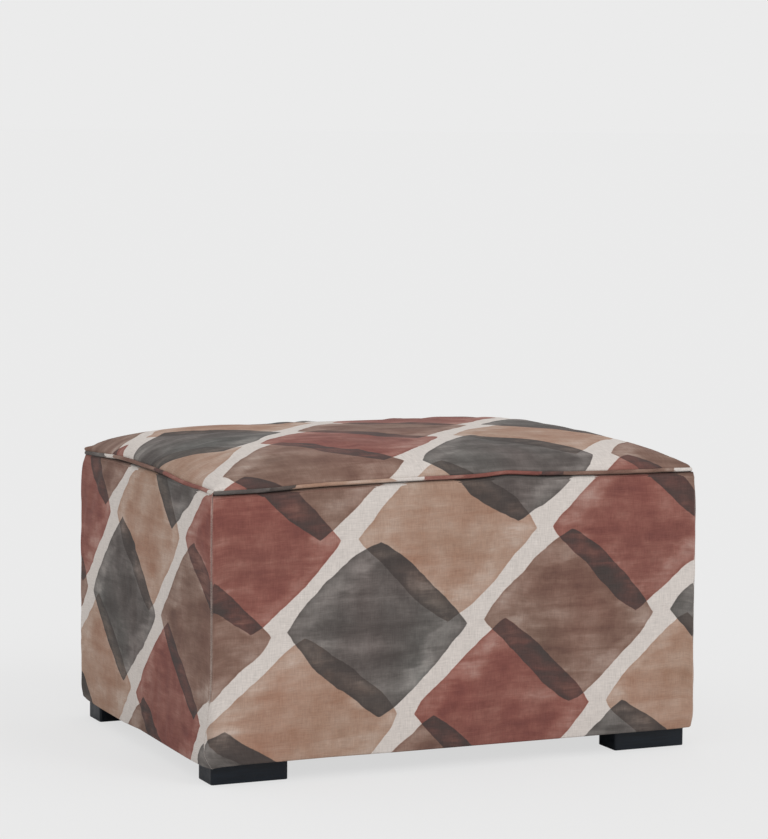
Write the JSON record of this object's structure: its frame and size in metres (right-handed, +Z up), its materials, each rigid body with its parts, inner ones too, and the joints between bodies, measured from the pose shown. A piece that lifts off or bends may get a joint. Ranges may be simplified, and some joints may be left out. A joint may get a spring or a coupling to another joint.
{
  "type": "tuffet",
  "caption": "Fully upholstered box footstool with a crowned, piped top and straight padded sides on low block feet; a seat or leg rest for one person.",
  "frame": {"origin": "on the floor, under the middle of the stool", "axes": "+X along the width, to the right as seen from the front; +Y from the front to the back; +Z up"},
  "size_m": [0.613, 0.46, 0.3687],
  "materials": {
    "cover_fabric": "printed linen-look upholstery cloth, matt",
    "piping_fabric": "the same printed cloth, cut in strips",
    "piping_cord": "twisted cotton cord",
    "wadding": "white polyester wadding",
    "foam": "open-cell polyurethane foam, cream",
    "hardboard": "brown hardboard, smooth one side",
    "timber": "planed softwood, unfinished",
    "webbing": "woven elastic webbing, dark grey",
    "hessian": "loosely woven jute",
    "lining": "black non-woven lining",
    "foot_wood": "black stained wood, satin lacquer",
    "glide_plastic": "black nylon, moulded",
    "screw_steel": "zinc-plated steel"
  },
  "bodies": {
    "root": {"top_cover": "cover_fabric", "front_cover": "cover_fabric", "front_padding": "wadding", "front_board": "hardboard", "top_rail_front": "timber", "bottom_rail_front": "timber", "right_cover": "cover_fabric", "right_padding": "wadding", "right_board": "hardboard", "top_rail_right": "timber", "bottom_rail_right": "timber", "back_cover": "cover_fabric", "back_padding": "wadding", "back_board": "hardboard", "top_rail_back": "timber", "bottom_rail_back": "timber", "left_cover": "cover_fabric", "left_padding": "wadding", "left_board": "hardboard", "top_rail_left": "timber", "bottom_rail_left": "timber", "piping_strip": "piping_fabric", "piping_cord": "piping_cord", "seat_wadding": "wadding", "seat_foam": "foam", "bottom_brace": "timber", "platform_cloth": "hessian", "dust_cover": "lining", "webbing_long_1": "webbing", "webbing_long_2": "webbing", "webbing_long_3": "webbing", "webbing_cross_1": "webbing", "webbing_cross_2": "webbing", "webbing_cross_3": "webbing", "webbing_cross_4": "webbing", "post_front_left": "timber", "corner_block_front_left": "timber", "foot_front_left": "foot_wood", "glide_front_left": "glide_plastic", "foot_screw_post_front_left": "screw_steel", "foot_screw_block_front_left": "screw_steel", "post_front_right": "timber", "corner_block_front_right": "timber", "foot_front_right": "foot_wood", "glide_front_right": "glide_plastic", "foot_screw_post_front_right": "screw_steel", "foot_screw_block_front_right": "screw_steel", "post_back_left": "timber", "corner_block_back_left": "timber", "foot_back_left": "foot_wood", "glide_back_left": "glide_plastic", "foot_screw_post_back_left": "screw_steel", "foot_screw_block_back_left": "screw_steel", "post_back_right": "timber", "corner_block_back_right": "timber", "foot_back_right": "foot_wood", "glide_back_right": "glide_plastic", "foot_screw_post_back_right": "screw_steel", "foot_screw_block_back_right": "screw_steel"}
  },
  "joints": []
}
